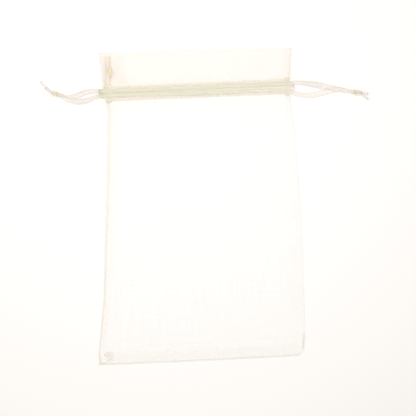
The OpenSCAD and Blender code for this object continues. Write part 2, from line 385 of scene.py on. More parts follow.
def cloth_grid(name, points, cloth, material, slot, fold=None, flip=False):
    """A sheet from a grid of points [row, column, 3], made a closed shell by the cloth's thickness.

    fold is 1 on a pressed fold or seam and 0 on open cloth.
    """
    rows, columns = points.shape[:2]
    piece = new_piece(
        name, points.reshape(-1, 3), grid_faces(rows, columns, flip), material, slot,
        cloth.reshape(-1, 2), {"fold": np.zeros((rows, columns)) if fold is None else fold}
    )
    mark_outline_sharp(piece.data)
    shell = piece.modifiers.new("thickness", "SOLIDIFY")
    shell.thickness = CLOTH_T * MM
    shell.offset = 0
    return piece


def swept(path, ring_of):
    """Points and faces of a closed tube along a path. ring_of gives the ring at each place."""
    rings = [ring_of(path, i) for i in range(len(path))]
    count = len(rings[0])
    points = [point for ring in rings for point in ring]
    faces = []
    for r in range(len(rings) - 1):
        for c in range(count):
            a = r * count + c
            b = r * count + (c + 1) % count
            faces.append((a, b, b + count, a + count))
    faces.append(tuple(reversed(range(count))))
    faces.append(tuple(range(len(points) - count, len(points))))
    return points, faces


def unit(v):
    return v / max(np.linalg.norm(v), 1e-9)


def direction(path, i):
    return unit(path[min(i + 1, len(path) - 1)] - path[max(i - 1, 0)])


def smooth_step(low, high, value):
    t = np.clip((value - low) / (high - low), 0, 1)
    return t * t * (3 - 2 * t)


def catmull(route, steps):
    """The smooth curve through a route's points."""
    route = np.asarray(route, float)
    last = len(route) - 1
    found = []
    for i in range(last):
        a, b, c, d = (route[min(max(k, 0), last)] for k in (i - 1, i, i + 1, i + 2))
        for t in np.arange(steps) / steps:
            found.append(
                0.5 * (2 * b + (c - a) * t + (2 * a - 5 * b + 4 * c - d) * t * t
                       + (3 * b - a - 3 * c + d) * t ** 3)
            )
    found.append(route[last])
    return np.array(found)


def lengths_along(path):
    """How far along the path each of its points is."""
    return np.r_[0, np.cumsum(np.linalg.norm(np.diff(path, axis=0), axis=1))]


def even(path, step):
    """The same line with points about step apart."""
    lengths = lengths_along(path)
    places = np.linspace(0, lengths[-1], max(2, round(lengths[-1] / step) + 1))
    return np.column_stack([np.interp(places, lengths, path[:, k]) for k in range(3)])


def round_ring(radius, sides):
    """A ring function for a round tube. The radius is a number or depends on the place."""

    def ring(path, i):
        along = direction(path, i)
        helper = np.array([0, 0, 1.0]) if abs(along[2]) < 0.9 else np.array([1.0, 0, 0])
        across = unit(np.cross(along, helper))
        up = np.cross(across, along)
        r = radius(i, len(path)) if callable(radius) else radius
        angles = [2 * math.pi * k / sides for k in range(sides)]
        return [path[i] + across * r * math.cos(a) + up * r * math.sin(a) for a in angles]

    return ring


def add_mesh(store, points, faces):
    """Adds points and faces to a store, a pair of lists that later becomes one piece."""
    first = len(store[0])
    store[0].extend(points)
    store[1].extend(tuple(i + first for i in face) for face in faces)


def add_tube(store, path, radius, sides=7):
    add_mesh(store, *swept(np.asarray(path, float), round_ring(radius, sides)))


def thread_piece(store, name, material, node):
    """A piece of sewing thread from a store, in place of a CAD node."""
    piece = new_piece(name, *store, material, "thread")
    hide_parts(node)
    return piece


def above_floor(points):
    """The points with none of them lower than a hair above the floor."""
    points = np.array(points)
    points[:, 2] = np.maximum(points[:, 2], LOWEST_POINT)
    return points


def let_light_through(piece):
    """Cloth this sheer passes on nearly all the light, so the piece casts no shadow."""
    piece.visible_shadow = False


def on_drawstring(piece, side, node):
    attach(piece, f"drawstring_{side}")
    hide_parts(f"{side}_{node}")


# ---- Ribbons ----

def upper_stretch(places, z):
    return [(x, UPPER_TRACK, z) for x in places]


def lower_stretch(places, z):
    """Along the lower track, which rises towards the left."""
    return [(x, float(np.interp(x, (-24, 8), (LOWER_TRACK_LEFT, LOWER_TRACK))), z) for x in places]


# From the knot through the front casing, round the far side and back through the back casing.
LEFT_ROUTE = [
    (-63.6, 55.8, 1.9), (-60.4, 53.7, 2), (-56, 52.4, 3), (-51, 52.4, 5), (-46.6, 53.6, 6.8),
    *lower_stretch((-42, -37, -24, -8, 8, 26, 40, 46), FRONT_STRAND),
    (48.6, 54.3, 6.5), (49.5, 55.4, 4.2), (48.6, 56.3, 1.9),
    *upper_stretch((46, 40, 26, 0, -26, -38, -42), BACK_STRAND),
    (-46.4, 57, 0.8), (-51, 56.8, 0.5), (-56, 55.3, 0.4), (-60.4, 55, 0.7), (-63.6, 55.8, 1.2)
]
RIGHT_ROUTE = [
    (77.2, 51.6, 1.9), (73, 52.4, 1.8), (67.6, 53.8, 2.3), (61.6, 55.2, 3.8), (55.6, 56.2, 5.6),
    (50.8, 56.7, 7),
    *upper_stretch((46.4, 42, 30, 4, -22, -36, -41.6), FRONT_STRAND),
    (-44, 56.3, 6.5), (-44.9, 55.5, 4.2), (-44, 54.7, 1.9),
    *lower_stretch((-41.6, -37, -24, -8, 8, 26, 42), BACK_STRAND),
    (47.2, 53.4, 1.1), (50.6, 51.7, 0.8), (55, 50.8, 0.4), (60.4, 51, 0.3), (66, 52.6, 0.3),
    (72, 53, 0.4), (77.2, 51.6, 1.2)
]
TAIL_ROUTES = {
    "left": [
        [(-67.6, 57.4, 1.6), (-69.4, 59.2, 1.3), (-71.2, 60.8, 1.1), (-72.8, 62.4, 1)],
        [(-67.6, 57.1, 0.9), (-69.2, 58.2, 0.6), (-70.8, 59.6, 0.5)]
    ],
    "right": [
        [(81, 51.3, 1.4), (82.8, 50.8, 1.1), (84.8, 50.4, 1)],
        [(80.8, 51, 0.8), (82.8, 49.6, 0.5), (84.6, 48.2, 0.4)]
    ]
}

# Each knot's middle and its turn in degrees, and how far towards that middle the ribbon's start
# and its end run on.
KNOT_PLACES = {"left": ((-65.9, 56.6, 1.7), 162), "right": ((79.7, 51.35, 1.6), -9)}
KNOT_REACH = {"left": (0.9, 0), "right": (0.7, 0.7)}

# Where each ribbon leaves its casing, how far it swings about its length outside in degrees, and
# how its edges curl up inside.
LOOSE_TURN = {"left": 24, "right": -20}
CASED_CURL = {"left": 0.2, "right": -0.2}
LEFT_MOUTH_X = -44.6
RIGHT_MOUTH_X = 45.5
RIBBON_STEP = 0.7
CURVE_STEPS = 12
PINCH = 0.45
PINCH_REACH = 13
RIBBON_PROFILE = [-1, -0.93, -0.8, -0.5, 0, 0.5, 0.8, 0.93, 1]


def ribbon_thickness(share):
    """Thickness at a share of the way from the middle to an edge: the woven edges are thicker."""
    return RIBBON_T + (RIBBON_EDGE_T - RIBBON_T) * smooth_step(0.75, 0.9, abs(share))


def ribbon_ring(path, i, turn, width, curl):
    """The ribbon's section at one point of its path, turned about the path and curled a little."""
    along = direction(path, i)
    across = unit(np.array([0, 1, 0]) - along * along[1])
    up = np.cross(along, across)
    c, s = math.cos(turn), math.sin(turn)
    across, up = across * c + up * s, up * c - across * s
    ring = []
    for side in (1, -1):
        for share in RIBBON_PROFILE if side > 0 else reversed(RIBBON_PROFILE):
            edge = 0.35 if abs(share) == 1 else 1.0
            lift = side * ribbon_thickness(share) / 2 * edge + curl * (share * share - 0.4)
            ring.append(path[i] + across * share * width / 2 + up * lift)
    return ring


def ribbon_cloth(path):
    """Each ring point's place on the flat ribbon."""
    across = [share * RIBBON_W / 2 for share in RIBBON_PROFILE]
    return [(x, length) for length in lengths_along(path) for x in across + across[::-1]]


def looseness(point):
    """0 inside the casing, 1 well outside a mouth."""
    return float(smooth_step(0, 9, max(-46.5 - point[0], point[0] - 51)))


def openness(point):
    """0 on ribbon inside the casing, 1 on ribbon outside it."""
    return float(smooth_step(0, 2.5, max(LEFT_MOUTH_X - point[0], point[0] - RIGHT_MOUTH_X)))


def thinness(point):
    """How much of the weave shows through: most outside, and more on the lower track's right."""
    on_lower_track = point[1] < CASING_Y - 0.6
    spread = float(smooth_step(-5, 44, point[0])) if on_lower_track else 0
    return max(0.5 * openness(point), spread)


def into_knot(side, route):
    """The route with its ends run on part of the way to the middle of the knot."""
    middle = np.array(KNOT_PLACES[side][0])
    route = [np.array(p, float) for p in route]
    start, end = KNOT_REACH[side]
    if start:
        route.insert(0, route[0] + (middle - route[0]) * start)
    if end:
        route.append(route[-1] + (middle - route[-1]) * end)
    return route


def make_ribbon(side, route, material):
    """One drawstring from its knot through both casings and back, and the line it follows."""
    path = even(catmull(into_knot(side, route), CURVE_STEPS), RIBBON_STEP)

    def ring(points, i):
        loose = looseness(points[i])
        from_end = min(i, len(points) - 1 - i)
        pinch = 1 - PINCH * (1 - smooth_step(0, PINCH_REACH, from_end * RIBBON_STEP))
        phase = points[i][0] * 0.21 + (0 if i < len(points) / 2 else 1.9)
        turn = math.radians(LOOSE_TURN[side]) * loose * math.sin(phase)
        curl = 0.28 * loose * math.sin(points[i][0] * 0.33 + 0.8)
        curl += CASED_CURL[side] * (1 - loose)
        width = (CURLED_W + (RIBBON_W - CURLED_W) * loose) * pinch
        return ribbon_ring(points, i, turn, width, curl)

    points, faces = swept(path, ring)
    ring_points = 2 * len(RIBBON_PROFILE)
    values = {
        "loose": np.repeat([openness(p) for p in path], ring_points),
        "thin": np.repeat([thinness(p) for p in path], ring_points)
    }
    ribbon = new_piece(
        f"{side}_drawstring_ribbon", above_floor(points), faces, material, "ribbon",
        ribbon_cloth(path), values
    )
    # The shadow this ribbon would throw is painted into its darker loose colours instead.
    let_light_through(ribbon)
    on_drawstring(ribbon, side, "ribbon")
    return ribbon, path


# ---- Knots and cut ends ----

KNOT_LOOP = 0.47
KNOT_STEPS = 84
KNOT_SIDES = 10
KNOT_SQUEEZE = (1.75, 0.66, 0.75)
KNOT_STRAND_HALF_W = 0.78
KNOT_STRAND_HALF_T = 0.36
TAIL_STEP = 0.35
TAIL_CURVE_STEPS = 8
CUT_DEPTH = 0.5
FRAYS = 7
FRAY_R = 0.03
FRAY_SIDES = 5
FRAY_ON_CLOTH = (1.3, 0)


def trefoil(size, count):
    """A closed overhand knot's centre line."""
    t = np.linspace(0, 2 * math.pi, count, endpoint=False)
    return size * np.column_stack([
        np.sin(t) + 2 * np.sin(2 * t), np.cos(t) - 2 * np.cos(2 * t), -1.1 * np.sin(3 * t)
    ])


def make_knot(side, material):
    """An overhand knot pulled tight: the two ribbon ends wrapped round each other."""
    line = trefoil(KNOT_LOOP, KNOT_STEPS)
    points, faces = [], []
    for i in range(KNOT_STEPS):
        along = unit(line[(i + 1) % KNOT_STEPS] - line[i - 1])
        outward = unit(line[i] + np.array([0, 0, 0.05]))
        across = unit(np.cross(along, outward))
        up = np.cross(across, along)
        half_w = KNOT_STRAND_HALF_W + 0.08 * math.sin(5 * 2 * math.pi * i / KNOT_STEPS)
        for k in range(KNOT_SIDES):
            a = 2 * math.pi * k / KNOT_SIDES
            sideways = across * half_w * math.cos(a)
            points.append(line[i] + sideways + up * KNOT_STRAND_HALF_T * math.sin(a))
    total = len(points)
    for i in range(KNOT_STEPS):
        for k in range(KNOT_SIDES):
            a = i * KNOT_SIDES + k
            b = i * KNOT_SIDES + (k + 1) % KNOT_SIDES
            faces.append((a, b, (b + KNOT_SIDES) % total, (a + KNOT_SIDES) % total))
    cloth = np.column_stack([
        np.tile(np.linspace(-1.2, 1.2, KNOT_SIDES), KNOT_STEPS),
        np.repeat(np.arange(KNOT_STEPS) * 0.3, KNOT_SIDES)
    ])
    place, turn = KNOT_PLACES[side]
    c, s = math.cos(math.radians(turn)), math.sin(math.radians(turn))
    spin = np.array([[c, -s, 0], [s, c, 0], [0, 0, 1]])
    points = above_floor((np.array(points) * KNOT_SQUEEZE) @ spin.T + np.array(place))
    knot = new_piece(f"{side}_tied_knot", points, faces, material, "ribbon", cloth)
    on_drawstring(knot, side, "knot")
    return knot


def tail_ring(number, last):
    """The section of a cut end: pinched at the knot, and ragged where it was cut."""

    def ring(points, i):
        share = i / last
        width = RIBBON_W * (0.22 + 0.2 * smooth_step(0.1, 0.9, share))
        turn = math.radians(35 - 50 * number) * (1 - 0.4 * share)
        section = ribbon_ring(points, i, turn, width, 0.1)
        if i < last:
            return section
        along = direction(points, i)
        return [
            p + along * (CUT_DEPTH * ((k * 7 + number * 3) % 5) / 5)
            for k, p in enumerate(section)
        ]

    return ring


def make_tails(side, material):
    """Two cut ribbon ends past the knot, with loose fibres at the cut."""
    store = ([], [])
    cloth = []
    for number, route in enumerate(TAIL_ROUTES[side]):
        path = even(catmull([KNOT_PLACES[side][0], *route], TAIL_CURVE_STEPS), TAIL_STEP)
        last = len(path) - 1
        add_mesh(store, *swept(path, tail_ring(number, last)))
        cloth.extend(ribbon_cloth(path))
        for _ in range(FRAYS):
            start = path[last] + np.array([0, 1, 0]) * rng.uniform(-0.5, 0.5)
            way = direction(path, last) + rng.uniform(-0.45, 0.45, 3) * (1, 1, 0.4)
            add_tube(store, [start, start + way * rng.uniform(0.5, 1.1)], FRAY_R, FRAY_SIDES)
            cloth.extend([FRAY_ON_CLOTH] * (len(store[0]) - len(cloth)))
    points = above_floor(store[0])
    tails = new_piece(
        f"{side}_frayed_tails", points, store[1], material, "ribbon", cloth,
        {"loose": np.ones(len(points)), "thin": np.ones(len(points))}
    )
    on_drawstring(tails, side, "tails")
    return tails


# ---- The cloth's shape ----

HEADER_GAP = 0.4
CORNER_R = 4.0
TURNED_HEM = 5.8
TURNED_GAP = 0.14
TURNED_FOLD = 0.18
SIDE_ROLL = 0.42
BACK_LEVEL = 0.1
CHANNEL_RISE = 0.9
HEM_END = LOWER_ROW - 0.45
EDGE_INSET = 0.15
BODY_CROWN = 5.6
CASING_CROWN = 7.62
FRONT_HEM_DEPTH = 0.98
BACK_HEM_DEPTH = 1.17


def edge_x(side, y):
    """The cloth's edge at a height, with its corners eased."""
    heights, places = zip(*EDGES[side])
    shifts = np.linspace(-3, 3, 9)
    return np.mean([np.interp(y + s, heights, places) for s in shifts], axis=0)


def top_y(x):
    """The top edge, a little lower on the right."""
    left, right = LEFT_EDGE[-1][1], RIGHT_EDGE[-1][1]
    return HALF_H - EDGE_INSET - TOP_DROP * (x - left) / (right - left)


def bottom_y(x):
    """The bottom seam, rounded up to the side at its right end."""
    past = np.clip(x - (RIGHT_EDGE[0][1] - CORNER_R), 0, CORNER_R)
    corner = CORNER_R - np.sqrt(CORNER_R ** 2 - 0.98 * past ** 2)
    return -HALF_H + EDGE_INSET + 0.4 * smooth_step(-20, 48, x) + corner


def rolled(distance, width):
    """How far a pillow has risen at a distance from its edge, from 0 to 1."""
    t = np.clip(distance / width, 0, 1)
    return np.sin(t * math.pi / 2) ** 0.85


WAVES = [(0.31, 0.4, 1.0), (0.53, 1.9, 0.8), (0.83, 4.1, 0.55), (1.27, 2.7, 0.35), (1.61, 5.2, 0.25)]


def gathers(x, y):
    """Small upright ripples across the cloth, from -1 to 1."""
    total = sum(size * np.cos(k * x + phase + 0.02 * y) for k, phase, size in WAVES)
    return total / sum(size for _, _, size in WAVES)


CREASES = [(0.5, 0.11, 0.07, 0.6), (0.35, 0.19, -0.09, 2.1), (0.3, 0.05, 0.23, 4), (0.16, 0.41, 0.12, 1)]


def creases(x, y):
    """Long soft creases of cloth that has been folded and put away."""
    return sum(size * np.sin(kx * x + ky * y + phase) for size, kx, ky, phase in CREASES)


def near_edge(x, y):
    """Distance to the nearer side edge."""
    return np.maximum(np.minimum(x - edge_x("left", y), edge_x("right", y) - x), 0)


def front_body_z(x, y):
    """The front's height: low along the seams and puffed up between them, highest at the casing."""
    side = near_edge(x, y)
    width = 12 - 9.5 * smooth_step(34, 52, y)
    crown = BODY_CROWN + (CASING_CROWN - BODY_CROWN) * smooth_step(22, 52, y)
    low = np.maximum(y - bottom_y(x), 0)
    inner = rolled(side, width) * rolled(low, 17)
    pucker = 0.3 * np.exp(-(SPLIT_Y - y) / 8) * gathers(x, y)
    soft = 0.34 * creases(x, y) * smooth_step(50, 34, y)
    seam_ripple = 0.12 * np.sin(1.35 * x + 0.4) * np.exp(-low / 4)
    return SIDE_ROLL + (crown - SIDE_ROLL) * inner + (pucker + soft + seam_ripple) * inner ** 0.5


def back_body_z(x, y):
    """The back's height: it lies on the floor and lifts a little at the seams."""
    side = near_edge(x, y)
    low = np.maximum(y - bottom_y(x), 0)
    lift = 0.14 * (1 - rolled(side, 3)) + 0.14 * (1 - rolled(low, 3))
    return BACK_LEVEL + np.minimum(lift, 0.16) + 0.05 * (1 + creases(x, y)) * rolled(side, 6)


def channel(y):
    """0 at the two stitch rows of the casing and 1 between them."""
    inside = np.minimum(y - LOWER_ROW, UPPER_ROW - y)
    return np.sin(np.clip(inside / CHANNEL_RISE, 0, 1) * math.pi / 2) ** 0.6


def header_drop(x, y):
    """How far a header's side has curved in to its seam, from 0 to 1."""
    return (1 - rolled(near_edge(x, y), 4.5)) * smooth_step(59.6, 66, y)


def front_outer_z(x, y):
    """The height of the front's outer layer at the casing and in the header."""
    crown = CASING_CROWN + 0.5 * channel(y) - 0.9 * smooth_step(60, 76, y)
    ripple = (0.3 - 0.25 * smooth_step(50.5, 52.5, y) + 0.3 * smooth_step(58, 66, y)) * gathers(x, y)
    drop = header_drop(x, y)
    return crown + ripple * (1 - drop) - (crown - 2.3) * drop


def front_hem_z(x, y):
    """The hem under the front's outer layer, apart from it where the ribbons run."""
    return front_outer_z(x, y) - HEADER_GAP - FRONT_HEM_DEPTH * channel(y)


def back_outer_z(x, y):
    """The height of the back's outer layer at the casing and in the header."""
    ripple = 0.06 * (1 + gathers(x + 11, y)) * smooth_step(58, 64, y)
    return BACK_LEVEL + 0.02 + ripple + 0.5 * header_drop(x, y)


def back_hem_z(x, y):
    """The hem above the back's outer layer, apart from it where the ribbons run."""
    return back_outer_z(x, y) + HEADER_GAP + BACK_HEM_DEPTH * channel(y)


def allowance_level(x, y):
    """Where the side seam's raw edges lie in the body."""
    return back_body_z(x, y) + 0.2


def header_level(x, y):
    """Where the side seam's raw edges lie in the header."""
    return back_hem_z(x, y) + 0.25


def level_at(height_at, x, y):
    return float(height_at(np.array([x]), np.array([y]))[0])


# ---- Cloth pieces ----

COLUMNS = 76
BODY_ROWS = 96
OUTER_SHARES = np.r_[np.linspace(0, 0.3, 18), np.linspace(0.33, 1, 24)]
TURNED_SHARES = np.r_[0, 0.03, np.linspace(0.1, 1, 12)]
HEADER_RISE = 23
FOLD_REACH = 0.5
EDGE_FOLD = {"left": 1, "right": 0.55}
BOTTOM_FOLD = 0.4
HEADER_FOLD = 0.6


def across_places(side, y):
    """Places from one side's edge to the middle of the pouch, closer together near the edge."""
    share = np.linspace(0, 1, COLUMNS) ** 1.15
    return edge_x(side, y) * (1 - share)


def neck_blend(piece, side):
    """Bakes the piece's placing into its points."""
    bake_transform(piece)


def body_blend(piece, side):
    """As neck_blend: bakes the piece's placing into its points."""
    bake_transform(piece)


def has_to_flip(face, side):
    """Whether a grid that runs in from that side has to be flipped to face outwards."""
    return (face == "front") == (side == "right")


def body_sheet(face, side, height_at, material):
    """Half of the front or back from the bottom seam up to the casing."""
    low = bottom_y(across_places(side, -HALF_H))
    rows = []
    for share in np.linspace(0, 1, BODY_ROWS):
        y = low + (SPLIT_Y - low) * share
        x = across_places(side, y)
        rows.append(np.column_stack([x, y, height_at(x, y)]))
    points = np.array(rows)
    x, y = points[:, :, 0], points[:, :, 1]
    fold = EDGE_FOLD[side] * np.exp(-near_edge(x, y) / FOLD_REACH)
    fold += BOTTOM_FOLD * np.exp(-(y - bottom_y(x)) / FOLD_REACH)
    piece = cloth_grid(
        f"{face}_body_{side}", points, points[:, :, :2], material, "organza", fold,
        has_to_flip(face, side)
    )
    body_blend(piece, side)
    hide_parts(f"{face}_panel")


def header_fold_rows(side, outer_at, hem_at):
    """The rows that turn over the top edge, from the outside to the inside."""
    x = across_places(side, HALF_H)
    top = top_y(x) - HEADER_GAP / 2
    outer, hem = outer_at(x, top), hem_at(x, top)
    rows = []
    for angle in np.linspace(0, math.pi, 6)[1:-1]:
        y = top + HEADER_GAP / 2 * math.sin(angle)
        z = (outer + hem) / 2 + (outer - hem) / 2 * math.cos(angle)
        rows.append(np.column_stack([x, y, z, x, y]))
    return rows


def upper_sheet(face, side, outer_at, hem_at, material):
    """The cloth above the body: up the outside, over the top edge and back down inside as a hem.

    Each row holds the points and, after them, their places on the flat cloth.
    """
    rows = []
    for share in OUTER_SHARES:
        x = across_places(side, SPLIT_Y + share * HEADER_RISE)
        y = SPLIT_Y + (top_y(x) - HEADER_GAP / 2 - SPLIT_Y) * share
        rows.append(np.column_stack([x, y, outer_at(x, y), x, y]))
    rows += header_fold_rows(side, outer_at, hem_at)
    for share in OUTER_SHARES[::-1]:
        x = across_places(side, SPLIT_Y + share * HEADER_RISE)
        y = HEM_END + (top_y(x) - HEADER_GAP / 2 - HEM_END) * share
        rows.append(np.column_stack([x, y, hem_at(x, y), x, 2 * top_y(x) - y]))
    turned_from = len(rows)
    gap = TURNED_GAP if face == "front" else -TURNED_GAP
    for share in TURNED_SHARES:
        x = across_places(side, HEM_END + share * TURNED_HEM)
        y = np.full(len(x), HEM_END + share * TURNED_HEM - 0.06)
        z = hem_at(x, y) + gap * min(1, 0.35 + 6 * share)
        rows.append(np.column_stack([x, y, z, x, 2 * top_y(x) - 2 * HEM_END + y]))
    rows = np.array(rows)
    points, cloth = rows[:, :, :3], rows[:, :, 3:]
    x, y = points[:, :, 0], points[:, :, 1]
    fold = HEADER_FOLD * np.exp(-near_edge(x, y) / FOLD_REACH)
    fold += HEADER_FOLD * np.exp(-(top_y(x) - y) / FOLD_REACH)
    fold[turned_from:] += TURNED_FOLD
    piece = cloth_grid(
        f"{face}_neck_{side}", points, cloth, material, "organza_hem", fold,
        has_to_flip(face, side)
    )
    # The shade these layers would throw is painted into the hem cloth's darker colour instead.
    let_light_through(piece)
    neck_blend(piece, side)
    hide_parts(f"{face}_hem_{side}", f"{face}_panel")


def neck_wall(side, node, material):
    """The cloth that closes one side of the neck between the two hems, bowed a little inwards."""
    t = np.linspace(0, 1, 12)
    rows = []
    for y in np.linspace(LOWER_ROW - 0.2, 66, 22):
        x = edge_x(side, y) + INWARD[side] * 0.5
        low, high = back_hem_z(x, y), front_hem_z(x, y)
        bow = 0.9 * np.sin(t * math.pi) * INWARD[side] * smooth_step(66, 60, y)
        rows.append(np.column_stack([x + bow, np.full(12, y), low + (high - low) * t]))
    points = np.array(rows)
    piece = cloth_grid(f"{side}_neck_side", points, points[:, :, 1:], material, "organza")
    neck_blend(piece, side)
    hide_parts(node)


def inner_layer(name, rows, material):
    """A layer of cloth inside the pouch, from its rows of points."""
    points = np.array(rows)
    piece = cloth_grid(name, points, points[:, :, :2], material, "organza_hem")
    let_light_through(piece)
    return piece


def seam_band(name, side, low, high, start, width, level, material, nodes, blend_with, low_share=1):
    """Two raw edges of a seam allowance along one side, low_share as wide at the low end."""
    t = np.linspace(0, 1, 12)
    for layer, label in enumerate((name, f"{name}_under")):
        rows = []
        for y in np.linspace(low, high, max(8, int((high - low) / 1.6))):
            fray = 0.18 * math.sin(2.3 * y + layer) + 0.1 * math.sin(5.1 * y)
            narrowing = low_share + (1 - low_share) * smooth_step(low, low + 90, y)
            reach = width * narrowing * (1 - 0.07 * layer) + fray
            x = edge_x(side, y) + INWARD[side] * (start + reach * t)
            z = level(x, y) + layer * 0.22 + 0.1 * np.sin(0.9 * y + 2.2 * t) * t
            rows.append(np.column_stack([x, np.full(12, y), z]))
        piece = inner_layer(label, rows, material)
        blend_with(piece, side)
        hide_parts(*nodes)


def bottom_band(material):
    """The two raw edges of the bottom seam, lying inside along the bottom."""
    for layer, name in enumerate(("bottom_allowance", "bottom_allowance_under")):
        rows = []
        for t in np.linspace(0, 1, 12):
            x = np.linspace(-47.6, 46.6, 150)
            reach = 6.3 - 0.5 * layer + 0.25 * np.sin(0.8 * x + layer) + 0.15 * np.sin(2.1 * x)
            y = bottom_y(x) + 1.1 + reach * t
            z = back_body_z(x, y) + 0.18 + 0.2 * layer + 0.12 * np.sin(0.5 * x + 2 * t) * t
            rows.append(np.column_stack([x, y, z]))
        piece = inner_layer(name, rows, material)
        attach(piece, "pouch")
        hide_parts("bottom_seam_allowance")


CORNER = (-49.4, -74.6)
CORNER_FOLDS = ((12, 6.6, 0.75), (-28, 5.2, 1.1))


def corner_tuck(material):
    """The spare cloth of the seam's corner, folded over itself inside the lower left corner.

    Each fold has a turn in degrees, a size and a height.
    """
    for number, (turn, size, height) in enumerate(CORNER_FOLDS):
        a = math.radians(turn)
        s = np.linspace(0, 1, 18)
        rows = []
        for t in np.linspace(0, 1, 16):
            u = size * s * (1 - 0.25 * t)
            v = size * 0.85 * t * (1 - 0.15 * s)
            x = CORNER[0] + u * math.cos(a) - v * math.sin(a) * 0.5
            y = CORNER[1] + v + u * math.sin(a) * 0.35
            x = np.maximum(x, edge_x("left", y) + 0.5)
            y = np.maximum(y, bottom_y(x) + 0.4)
            z = height + 0.28 * np.sin(2.1 * u + 1.3 * v + number) + 0.18 * np.sin(3.3 * v)
            rows.append(np.column_stack([x, y, z]))
        piece = inner_layer(f"corner_tuck_{number + 1}", rows, material)
        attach(piece, "pouch")


# ---- Sewing thread ----

STITCH_LENGTH = 2.3
STITCH_PITCH = 2.5
STITCH_LIFT = 0.1
UPPER_STITCH_R = 0.14
LOWER_STITCH_R = 0.11
TACK_R = 0.13
TACK_TURNS = 7
TACK_SHIFT = 0.4
NEEDLE_R = 0.1
RIGHT_THREAD_R = 0.15
LOOP_R = 0.03
LOOP_STEP = 0.28


def add_stitch(store, start, end, radius, sides=7):
    """A short stitch that is thinner at its ends, where it sinks into the cloth."""
    start, end = np.array(start, float), np.array(end, float)
    t = np.array([0, 0.12, 0.3, 0.5, 0.7, 0.88, 1])
    shares = (0.35, 0.8, 1, 1, 1, 0.8, 0.35)
    path = start + (end - start) * t[:, None]
    path[:, 2] += radius * 0.9 * np.sin(t * math.pi) - radius * 0.5
    add_tube(store, path, lambda i, count: radius * shares[i], sides)


def casing_stitches(row, y, height_at, radius, material):
    """One stitch row of a casing, as a left and a right half."""
    for side in ("left", "right"):
        store = ([], [])
        edge = abs(float(edge_x(side, y)))
        for place in np.arange(0.2, edge - 3.2, STITCH_PITCH):
            row_y = y + rng.uniform(-0.06, 0.06)
            ends = [
                (x, row_y, level_at(height_at, x, y) + STITCH_LIFT)
                for x in (-INWARD[side] * place, -INWARD[side] * (place + STITCH_LENGTH))
            ]
            add_stitch(store, *ends, radius)
        piece = thread_piece(store, f"{row}_row_{side}", material, f"{row}_stitches")
        neck_blend(piece, side)


def mouth_tacks(side, material):
    """Dense zigzags of thread above and below a mouth, through the front and the back."""
    store = ([], [])
    for y in (LOWER_ROW - TACK_SHIFT, UPPER_ROW + TACK_SHIFT):
        for level in (front_outer_z, back_hem_z):
            route = []
            for i in range(2 * TACK_TURNS + 1):
                x = float(edge_x(side, y)) + INWARD[side] * (0.5 + 0.95 * i / TACK_TURNS)
                across = y - 0.6 + 1.2 * (i % 2)
                route.append((x, across, level_at(level, x, across) + 0.12))
            for start, end in zip(route, route[1:]):
                add_stitch(store, start, end, TACK_R, 6)
    piece = thread_piece(store, f"{side}_bar_tacks", material, f"{side}_mouth_tacks")
    neck_blend(piece, side)


CORNER_ROUTE = [
    (0.5, 4.2), (0.7, 2.2), (1.1, 0.9), (2.4, 0.7), (3.6, 1.1), (5.1, 2.3), (6.7, 3.5), (5.2, 4.3),
    (3.8, 4), (2.9, 5.2), (4.6, 5.7), (6.3, 5.2)
]


def corner_thread(material):
    """Two strands of seam thread bunched up with the folded cloth in the lower left corner."""
    store = ([], [])
    low = float(bottom_y(-50.0))
    left = float(edge_x("left", low))
    for shift, level in ((0, 1.5), (0.35, 1.75)):
        route = [
            (left + across + shift, low + up + shift / 2, level + 0.2 * math.sin(3 * across))
            for across, up in CORNER_ROUTE
        ]
        add_tube(store, even(catmull(route, 6), 0.3), NEEDLE_R, 6)
    piece = thread_piece(store, "corner_thread", material, "bottom_seam_stitching")
    let_light_through(piece)
    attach(piece, "pouch")


def thread_line(name, x, y, z, radius, material, node, sides=7):
    """One run of thread along a line."""
    store = ([], [])
    add_tube(store, np.column_stack([x, y, z]), radius, sides)
    return thread_piece(store, name, material, node)


def swing(t, pitch):
    """Goes smoothly from 0 to 1 and back once in each pitch along t."""
    return 0.5 - 0.5 * np.cos(t * 2 * math.pi / pitch)


def side_needle_line(material):
    """The seam's line of thread along the left edge, which it meets at the bottom."""
    y = np.arange(-HALF_H + 0.6, 51, 0.8)
    inset = 0.35 + 1.05 * smooth_step(-70, 30, y)
    x = edge_x("left", y) + inset + 0.05 * np.sin(3.1 * y)
    z = front_body_z(x, y) + 0.02 + 0.05 * np.sin(2.6 * y)
    piece = thread_line("side_seam_needle_line", x, y, z, NEEDLE_R, material, "side_seam_stitching")
    body_blend(piece, "left")


def side_overlock(material):
    """Loops of fine thread over the raw edges of the side seam."""
    y = np.arange(-HALF_H + 8, 50, LOOP_STEP)
    reach = (1.6 + 2 * smooth_step(-68, 22, y)) * swing(y, 2.4)
    x = edge_x("left", y) + 1.5 + reach
    z = allowance_level(x, y) + 0.42
    piece = thread_line("side_seam_overlock", x, y, z, LOOP_R, material, "side_seam_stitching", 5)
    body_blend(piece, "left")


def bottom_needle_line(material):
    """The seam's line of thread along the bottom edge."""
    x = np.arange(-50.1, 48.2, 0.8)
    y = bottom_y(x) + 0.45 + 0.05 * np.sin(2.7 * x)
    z = np.maximum(front_body_z(x, y), 0.5) + 0.04 + 0.05 * np.sin(3.3 * x)
    piece = thread_line(
        "bottom_seam_needle_line", x, y, z, 0.8 * NEEDLE_R, material, "bottom_seam_stitching"
    )
    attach(piece, "pouch")


def right_corner_thread(material):
    """The bottom seam's thread run on up the right edge."""
    t = np.linspace(0, 1, 26)
    y = -HALF_H + 3.9 + 7.4 * t
    x = edge_x("right", y) - 0.45 - 0.4 * np.sin(t * 2.6)
    z = np.maximum(front_body_z(x, y), 0.5) + 0.05
    piece = thread_line(
        "right_corner_thread", x, y, z, RIGHT_THREAD_R, material, "bottom_seam_stitching"
    )
    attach(piece, "pouch")


